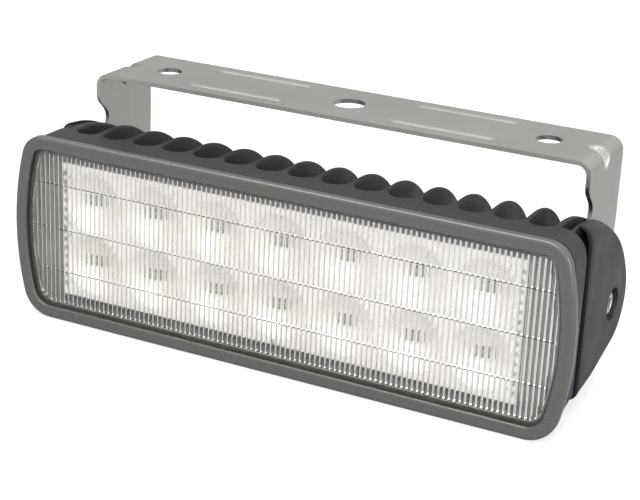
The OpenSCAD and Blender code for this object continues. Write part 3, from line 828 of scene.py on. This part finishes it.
def collar_plates(b, top, low):
    """The collar's flat top and underside in front of a fin, with a fine step behind the rim."""
    middle = len(top) // 2
    for ring, surface, inward in ((top, lambda y: BODY_TOP, -1), (low, belly, 1)):
        ends = (ring[middle - 1], ring[middle])
        rows = COLLAR_STEPS + [(11.5, 0)]
        loops = [[(x, y, surface(y) + inward * drop) for x, _, _ in ends] for y, drop in rows]
        b.loft(loops + [list(ends)], closed=False)


def make_fins(b):
    slot_r = (FIN_PITCH - FIN_T) / 2
    last = (FIN_COUNT - 1) / 2 * FIN_PITCH
    end_in = END_OUT - END_T
    end_r = (end_in - last - FIN_T / 2) / 2
    fins = Profile(FIN_ARCH_Y, FIN_ARCH_R, FIN_TAIL_R)
    ends = Profile(ARCH_Y, ARCH_R, TAIL_R, (PIVOT_Y, PIVOT_Z))
    end_slot = (last + FIN_T / 2 + end_r, end_r)
    slots = [(-end_slot[0], end_r)]
    slots += [(-last + FIN_PITCH * (i + 0.5), slot_r) for i in range(FIN_COUNT - 1)] + [end_slot]
    for i in range(FIN_COUNT):
        inside = abs(-last + i * FIN_PITCH) < DRIVER_BOX[1][0] + 1.5
        make_fin(b, slots[i], slots[i + 1], fins, DRIVER_BOX[1][1] if inside else None)
    make_fin(b, end_slot, END_OUT, ends)
    make_fin(b, -END_OUT, (-end_slot[0], end_r), ends)


def collar_path(y, g):
    """Right end of the collar at depth y: the rim's outline, drafted inward, its belly rising."""
    t = (y - RIM_BACK) / (COLLAR_END_BACK - RIM_BACK)
    rise = belly(y) + HALF_H - 1
    path = []
    for x, z in half_outline(-1 + g):
        if x > COLLAR_END_X:
            x += (COLLAR_END_X - x) * t
        lift = smooth((-2 - z) / (HALF_H - CORNER_BOTTOM - 2))
        path.append((x, z + rise * lift))
    return [(max(x, END_OUT), z) for x, z in path if x > END_OUT - 8]


def make_collar_end(b, side):
    soft = 0.8
    stations = [(y, -drop) for y, drop in COLLAR_STEPS] + [(10, 0), (14, 0), (17.5, 0)]
    stations += [(COLLAR_END_BACK - soft * (1 - s), -soft * (1 - c)) for c, s in arc(0, 0, 1, 0, 90, 5)]
    rings = [[(side * x, y, z) for x, z in collar_path(y, g)] for y, g in stations]
    count = min(len(ring) for ring in rings)
    b.loft([ring[:count] for ring in rings], closed=False)
    back = rings[-1][:count]
    b.add(back, [tuple(range(count))])


def rounded_box(b, low, high, r):
    """A box with rounded upright and lying edges round its outer faces, along Y."""
    def ring(y, inset):
        points = []
        for cx, cz, start in (
            (high[0] - r, high[2] - r, 90),
            (high[0] - r, low[2] + r, 0),
            (low[0] + r, low[2] + r, -90),
            (low[0] + r, high[2] - r, -180),
        ):
            points += arc(cx, cz, r - inset, start, start - 90, 5)
        return [(x, y, z) for x, z in points]

    rows = [(low[1], 0), (high[1] - 0.6, 0), (high[1] - 0.15, 0.2), (high[1], 0.6)]
    b.loft([ring(y, inset) for y, inset in rows], cap_last=True)


def bar_x(b, r, x0, x1, y=PIVOT_Y, z=PIVOT_Z, soft=0.5, sides=48):
    """A round bar along X with softened ends."""
    flip = 1 if x1 > x0 else -1
    stations = [(x0, r - soft), (x0 + flip * soft, r), (x1 - flip * soft, r), (x1, r - soft)]
    rings = [[(x, y + s, z + c) for s, c in arc(0, 0, radius, 0, 360, sides)[:-1]]
             for x, radius in stations]
    b.loft(rings, cap_first=True, cap_last=True)


def make_guard(b, side):
    """Thin upright wall outside the arm, between the collar and the side cover."""
    x0, x1 = GUARD_X
    soft = 0.4
    rings = []
    for y in steps(COLLAR_BACK, GUARD_BACK, 14):
        top, low = arch_top(y) - 1.2, belly(y) + 1.2
        corners = [(x0, top - soft), (x0 + soft, top), (x1 - soft, top), (x1, top - soft)]
        corners += [(x1, low + soft), (x1 - soft, low), (x0 + soft, low), (x0, low + soft)]
        rings.append([(side * x, y, z) for x, z in corners])
    b.loft(rings, cap_last=True)


def make_chamber(b):
    """Inside of the housing round the reflector tray: side wall and back wall."""
    rings = [[(x, y, z) for x, z in outline(-CHAMBER_INSET)] for y in (RIM_BACK - 0.4, 8, CHAMBER_BACK)]
    b.loft(rings, cap_last=True)


def make_housing(plastic, inside):
    b = Builder()
    make_fins(b)
    for side in (-1, 1):
        make_collar_end(b, side)
        make_guard(b, side)
        bar_x(b, HUB_R, side * HUB_INNER_X, side * (END_OUT - END_T + 0.5))
    rounded_box(b, *DRIVER_BOX, 2.5)
    housing = b.piece("finned_housing", [plastic], "lamp", sharp=42)
    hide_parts("housing")
    c = Builder()
    make_chamber(c)
    c.piece("chamber_wall", [inside], "lamp")


# ---------------------------------------------------------------- side covers
COVER_EDGES = steps(0, 90, 9)
GROOVE_AT = 2.0
COVER_DROP = 0.25
COVER_HOLLOW = 10.0
COVER_WALL = 1.6


def cover_lean(y, z):
    """How far the cover's rounded edge reaches in: broad at the upper front, tight at the tail."""
    if z < PIVOT_Z:
        return 2.6 + 3.2 * smooth((50 - y) / 22)
    return 2.6 + 5.9 * smooth((80 - y) / 50)


def cover_section(y, z, ny, nz, inset=0.0):
    """Points over the cover's rounded edge at one place on its outline, inner side first."""
    lean = cover_lean(y, z)
    x_in, x_out = COVER_X
    points = []
    for a in (math.radians(v) for v in COVER_EDGES):
        x = x_in + (x_out - inset - x_in) * math.sin(a)
        reach = lean * (1 - math.cos(a)) + inset
        points.append((x, y - ny * reach, z - nz * reach))
    return points


def cover_front_loop(y, inset):
    """The cover's section at depth y near its front: over the top edge, down the face, under."""
    top = cover_section(y, arch_top(y) - COVER_DROP, 0, 1, inset)
    low = cover_section(y, belly(y), 0, -1, inset)
    return top + low[::-1]


def make_cover(side, plastic, node):
    b = Builder()
    profile = Profile(ARCH_Y, ARCH_R, TAIL_R, (PIVOT_Y, PIVOT_Z))
    back = COVER_FRONT + GROOVE_AT + 0.5
    path = profile.perimeter(back)
    path = [(y, z - COVER_DROP * smooth((45 - y) / 12) * (nz > 0), ny, nz) for y, z, ny, nz in path]
    path[0], path[-1] = (*path[0][:2], 0, 1), (*path[-1][:2], 0, -1)
    rings = [cover_section(*place_on) for place_on in path]
    b.loft([[(side * x, y, z) for x, y, z in ring] for ring in rings], closed=False)
    border = [ring[-1] for ring in rings]
    make_cover_face(b, [(side * x, y, z) for x, y, z in border], side * COVER_X[1])
    rows = [(COVER_HOLLOW, COVER_WALL), (0, COVER_WALL), (0, 0.5), (0.15, 0.15), (0.5, 0)]
    rows += [(GROOVE_AT - 0.4, 0), (GROOVE_AT - 0.3, 0.1)]
    rows += [(GROOVE_AT - 0.2, 0.4), (GROOVE_AT + 0.1, 0.45), (GROOVE_AT + 0.25, 0.12)]
    rows += [(GROOVE_AT + 0.5, 0)]
    loops = [[(side * x, y, z) for x, y, z in cover_front_loop(COVER_FRONT + d, inset)]
             for d, inset in rows]
    b.loft(loops, closed=False)
    b.add(loops[0], [tuple(range(len(loops[0])))])
    lips = loops[2:]
    inner = [loop[0] for loop in lips] + [(side * ring[0][0], *ring[0][1:]) for ring in rings[1:-1]]
    inner += [loop[-1] for loop in reversed(lips)]
    b.add(inner, [tuple(range(len(inner)))])
    cover = b.piece(node + "_shell", [plastic], "lamp", sharp=38)
    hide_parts(node)


def make_cover_face(b, border, x):
    """The flat outer face round the bolt's recess, and the recess itself."""
    flip = 1 if x > 0 else -1
    mouth = arc(PIVOT_Y, PIVOT_Z, RECESS_R + 0.4, 0, 360, 64)[:-1]
    bm = bmesh.new()
    for loop in (border, [(x, y, z) for y, z in mouth]):
        verts = [bm.verts.new(p) for p in loop]
        for i, v in enumerate(verts):
            bm.edges.new((v, verts[(i + 1) % len(verts)]))
    bmesh.ops.remove_doubles(bm, verts=bm.verts, dist=1e-4)
    bmesh.ops.triangle_fill(bm, use_beauty=True, use_dissolve=False, edges=bm.edges)
    bm.verts.index_update()
    b.add([tuple(v.co) for v in bm.verts], [tuple(v.index for v in f.verts) for f in bm.faces])
    bm.free()
    depths = [(0.4, 0), (0.12, 0.12), (0, 0.4), (0, abs(x) - HEAD_SEAT)]
    rings = [[(x - flip * d, y, z) for y, z in arc(PIVOT_Y, PIVOT_Z, RECESS_R + grow, 0, 360, 64)[:-1]]
             for grow, d in depths]
    b.loft(rings, cap_last=True)


# ---------------------------------------------------------------- pivot bolts
def make_bolt(b, side):
    """Button head with a hexagon socket; only the head shows in the cover's recess."""
    sides = 48
    profile = [(HEAD_R - 0.35, 0), (HEAD_R, 0.25), (HEAD_R, 1.0)]
    for a in steps(8, 62, 9):
        share = (a - 8) / 54
        rise = math.sin(math.radians(90 * share)) ** 0.9
        profile.append((HEAD_R - 3.1 * share**1.6, 1.0 + (HEAD_H - 1.0) * rise))
    rings = []
    for r, h in profile:
        circle = arc(0, 0, 1, 0, 360, sides)[:-1]
        x = side * (HEAD_SEAT + h)
        rings.append([(x, PIVOT_Y + r * c, PIVOT_Z + r * s) for c, s in circle])
    for h, grow in ((HEAD_H, 0.18), (HEAD_H - 0.18, 0), (HEAD_H - SOCKET_DEPTH, 0)):
        x = side * (HEAD_SEAT + h)
        rings.append([(x, PIVOT_Y + y, PIVOT_Z + z) for y, z in hexagon(SOCKET_R + grow, sides)])
    b.loft(rings, cap_first=True, cap_last=True)
    bar_x(b, SHANK_R, side * SHANK_INNER_X, side * (HEAD_SEAT + 0.5), soft=0.6)


def hexagon(r, count):
    """Points on a hexagon of corner radius r at evenly spaced angles."""
    points = []
    for i in range(count):
        a = 360 * i / count
        reach = r * math.cos(math.radians(30)) / math.cos(math.radians((a % 60) - 30))
        points.append((reach * math.cos(math.radians(a)), reach * math.sin(math.radians(a))))
    return points


def make_bolts(steel):
    b = Builder()
    for side in (-1, 1):
        make_bolt(b, side)
    bolts = b.piece("button_head_bolts", [steel], "lamp", sharp=40)
    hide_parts("pivot_bolts")


# ---------------------------------------------------------------- bracket
BEAD_X = 53.0
BEAD_Y = 14.8
BEAD_L = 52.0
BEAD_W = 5.5
BEAD_DEPTH = 0.8
DENT_LEG = 11.5
DENT_HALF = 5.4


def bead_drop(x, y):
    """How far the plate is pressed down at (x, y) by its four stiffening beads."""
    along = max(0.0, abs(abs(x) - BEAD_X) - (BEAD_L - BEAD_W) / 2)
    away = math.hypot(along, abs(y) - BEAD_Y)
    return BEAD_DEPTH * (1 - smooth((away - 1.0) / (BEAD_W / 2 - 1.0)))


def press_dent(x, y, z):
    """Pushes the bend's corner in along its bisector, to a crease-edged scoop round y = 0."""
    side = 1 if x > 0 else -1
    u = (ARM_X - abs(x)) - z
    bend_u = 2 * BEND_R * (1 - math.cos(math.radians(45)))
    limit = DENT_LEG - (DENT_LEG - bend_u) * (y / DENT_HALF) ** 2
    blend = 0.5
    gap = limit - u
    push = 0.5 * (gap + math.sqrt(gap * gap + blend * blend)) - 0.5 * blend * blend / (abs(gap) + blend)
    push = max(0.0, push) if gap > -3 * blend else 0.0
    return x - side * push / 2, y, z - push / 2


def arm_front(z):
    """Front edge of an arm at height z, from the plate's edge to the waist and down to the pivot."""
    if z > -11.5:
        return -PLATE_HALF
    if z > -23:
        return -PLATE_HALF + 7.8 * (1 - math.cos(math.pi * (-11.5 - z) / 11.5)) / 2
    if z > -35:
        return -15.2 - 3.3 * (1 - math.cos(math.pi * (-23 - z) / 12)) / 2
    return -18.5 + 1.5 * smooth((-35 - z) / (PIVOT_DROP - 35))


def arm_back(z):
    if z > -38:
        return PLATE_HALF
    return 17 + 6 * (1 - math.cos(math.pi * min(1.0, max(0.0, (z + 64) / 26)))) / 2


def arm_span(z):
    end_r = 17.0
    if z < -PIVOT_DROP:
        half = math.sqrt(max(0.0, end_r**2 - (z + PIVOT_DROP) ** 2))
        return -half, half
    return arm_front(z), arm_back(z)


def strip_path():
    """(x, z) down the sheet's middle from the plate's centre to the right arm's round end."""
    mid = SHEET / 2
    path = [(x, -mid) for x in steps(0, ARM_X - BEND_R - 8, 74)]
    path += [(x, -mid) for x in steps(ARM_X - BEND_R - 8, ARM_X - BEND_R, 9)[1:]]
    path += arc(ARM_X - BEND_R, -BEND_R, BEND_R - mid, 90, 0, 14)[1:]
    path += [(ARM_X - mid, z) for z in steps(-BEND_R, -BEND_R - 9, 10)[1:]]
    path += [(ARM_X - mid, z) for z in steps(-BEND_R - 9, -PIVOT_DROP, 30)[1:]]
    path += [(ARM_X - mid, -PIVOT_DROP - 17 * math.sin(math.radians(a))) for a in steps(0, 90, 16)[1:]]
    return path


def make_bracket(steel):
    columns = 56
    right = strip_path()
    path = [(-x, z) for x, z in reversed(right[1:])] + right
    rings = []
    for x, z in path:
        low, high = arm_span(z) if z < -BEND_R else (-PLATE_HALF, PLATE_HALF)
        ring = []
        for y in steps(low, high, columns):
            drop = bead_drop(x, y) if z > -1.5 else 0
            ring.append(press_dent(x, y, z - drop) if abs(x) > 95 and z > -25 else (x, y, z - drop))
        rings.append(ring)
    b = Builder()
    b.loft(rings, closed=False)
    bracket = new_piece("u_bracket", b.points, b.faces, [steel], place_bracket, sharp=60)
    thicken(bracket, SHEET)
    for x, r in ((0, MID_HOLE_R), (-SIDE_HOLE_X, SIDE_HOLE_R), (SIDE_HOLE_X, SIDE_HOLE_R)):
        drill(bracket, (x, 0, 0), r, (0, 0, 1))
    for side in (-1, 1):
        drill(bracket, (side * ARM_X, 0, -PIVOT_DROP), PIVOT_HOLE_R, (1, 0, 0))
    soften(bracket, 0.25)
    for vertex in bracket.data.vertices:
        vertex.co.z = min(vertex.co.z, CAD_BOX[1].z)
    weigh_normals(bracket)
    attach(bracket, "bracket")
    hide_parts("bracket")


def thicken(piece, thickness):
    modifier = piece.modifiers.new("sheet", "SOLIDIFY")
    modifier.thickness = thickness * MM
    modifier.offset = 0
    modifier.use_even_offset = True
    apply_modifiers(piece)


def drill(piece, at, r, axis):
    """Cuts a round hole through piece."""
    bm = bmesh.new()
    bmesh.ops.create_cone(bm, cap_ends=True, segments=72, radius1=r * MM, radius2=r * MM, depth=16 * MM)
    turn = Vector((0, 0, 1)).rotation_difference(Vector(axis)).to_matrix().to_4x4()
    bm.transform(Matrix.Translation(place_bracket(*at)) @ turn)
    mesh = bpy.data.meshes.new("drill")
    bm.to_mesh(mesh)
    bm.free()
    cutter = bpy.data.objects.new("drill", mesh)
    bpy.context.scene.collection.objects.link(cutter)
    modifier = piece.modifiers.new("hole", "BOOLEAN")
    modifier.operation = "DIFFERENCE"
    modifier.solver = "EXACT"
    modifier.object = cutter
    apply_modifiers(piece)
    bpy.data.objects.remove(cutter)


def soften(piece, width):
    modifier = piece.modifiers.new("soft_edges", "BEVEL")
    modifier.width = width * MM
    modifier.segments = 2
    modifier.limit_method = "ANGLE"
    modifier.angle_limit = math.radians(50)
    modifier.use_clamp_overlap = True
    apply_modifiers(piece)
    piece.data.shade_smooth()
    piece.data.set_sharp_from_angle(angle=math.radians(45))


def apply_modifiers(piece):
    graph = bpy.context.evaluated_depsgraph_get()
    mesh = bpy.data.meshes.new_from_object(piece.evaluated_get(graph))
    piece.modifiers.clear()
    piece.data = mesh


# ---------------------------------------------------------------- materials of the CAD nodes
def paint_nodes(materials):
    """Gives every CAD node that isn't replaced its own material."""
    for node, material in materials.items():
        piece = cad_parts[node]
        piece.data.materials.clear()
        piece.data.materials.append(material)


def node_materials(plastic, steel, rubber):
    gasket = plain("lens_seal_rubber", (0.028, 0.028, 0.022), (0.045, 0.044, 0.036), 600, (0.5, 0.65))
    brass = plain("brass_turned", (0.42, 0.28, 0.09), (0.55, 0.38, 0.14), 500, (0.28, 0.4), 1.0)
    zinc = plain("zinc_plated", (0.42, 0.42, 0.41), (0.55, 0.55, 0.54), 700, (0.25, 0.38), 1.0)
    white = plain("white_solder_mask", (0.78, 0.78, 0.75), (0.86, 0.86, 0.83), 300, (0.3, 0.4))
    led = plain("led_ceramic", (0.10, 0.10, 0.095), (0.15, 0.15, 0.14), 2500, (0.3, 0.4))
    dome = plain("led_silicone", (0.24, 0.23, 0.19), (0.32, 0.31, 0.25), 1500, (0.08, 0.15))
    ivory = plain("connector_nylon", (0.72, 0.69, 0.60), (0.80, 0.77, 0.68), 600, (0.35, 0.5))
    pad = plain("thermal_pad_rubber", (0.10, 0.10, 0.11), (0.14, 0.14, 0.15), 900, (0.7, 0.85))
    ferrite = plain("coil_ferrite", (0.03, 0.028, 0.026), (0.06, 0.055, 0.05), 1200, (0.5, 0.7))
    sleeve = plain("capacitor_sleeve", (0.01, 0.012, 0.05), (0.02, 0.024, 0.08), 900, (0.2, 0.3))
    chip = plain("chip_epoxy", (0.02, 0.02, 0.02), (0.035, 0.035, 0.035), 2000, (0.5, 0.65))
    green = plain("terminal_plastic", (0.02, 0.14, 0.05), (0.03, 0.19, 0.07), 800, (0.35, 0.5))
    red = plain("lead_insulation_red", (0.28, 0.012, 0.008), (0.36, 0.02, 0.012), 900, (0.35, 0.5))
    nylon = plain("washer_nylon_black", (0.03, 0.03, 0.03), (0.05, 0.05, 0.05), 900, (0.35, 0.5))
    gland = textured_plastic("gland_nylon", (0.025, 0.025, 0.026), (0.035, 0.035, 0.037), 2000)
    return {
        "lens_gasket": gasket, "led_board": white, "led_packages": led,
        "led_domes": dome, "board_connector": ivory, "board_screws": zinc, "thermal_pad": pad,
        "driver_board": circuit_board(), "driver_coils": ferrite, "driver_capacitors": sleeve,
        "driver_chips": chip, "driver_standoffs": brass, "driver_screws": zinc,
        "terminal_block": green, "inner_leads": red, "rear_cover": plastic, "rear_gasket": rubber,
        "rear_screws": zinc, "gland_body": gland, "gland_nut": gland, "gland_seal": rubber,
        "vent_plug": gland, "pivot_sleeves": steel, "pivot_inserts": brass,
        "inner_washers": nylon, "outer_washers": nylon,
    }


def main():
    make_camera()
    make_lights()
    make_floor()
    plastic = textured_plastic("black_moulded_plastic", (0.0135, 0.014, 0.0165), (0.019, 0.0198, 0.023))
    inside = textured_plastic("chamber_plastic", (0.17, 0.17, 0.165), (0.23, 0.23, 0.225), 1800)
    steel = brushed_steel("bracket_brushed", (0.43, 0.42, 0.40), (0.53, 0.52, 0.50), (60, 2600, 60))
    bolt_steel = brushed_steel("bolt_steel", (0.68, 0.68, 0.67), (0.80, 0.80, 0.79), (900, 900, 900))
    rubber = plain("black_seal_rubber", (0.02, 0.02, 0.02), (0.035, 0.035, 0.035), 1500, (0.6, 0.8))
    make_rim(satin_paint(), painted_groove_shade())
    make_reflector(bright_reflector())
    make_housing(plastic, inside)
    make_cover(1, plastic, "right_cover")
    make_cover(-1, plastic, "left_cover")
    make_bolts(bolt_steel)
    make_bracket(steel)
    make_lens(lens_material())
    paint_nodes(node_materials(plastic, bolt_steel, rubber))
    bpy.context.scene.view_settings.view_transform = "Standard"


main()
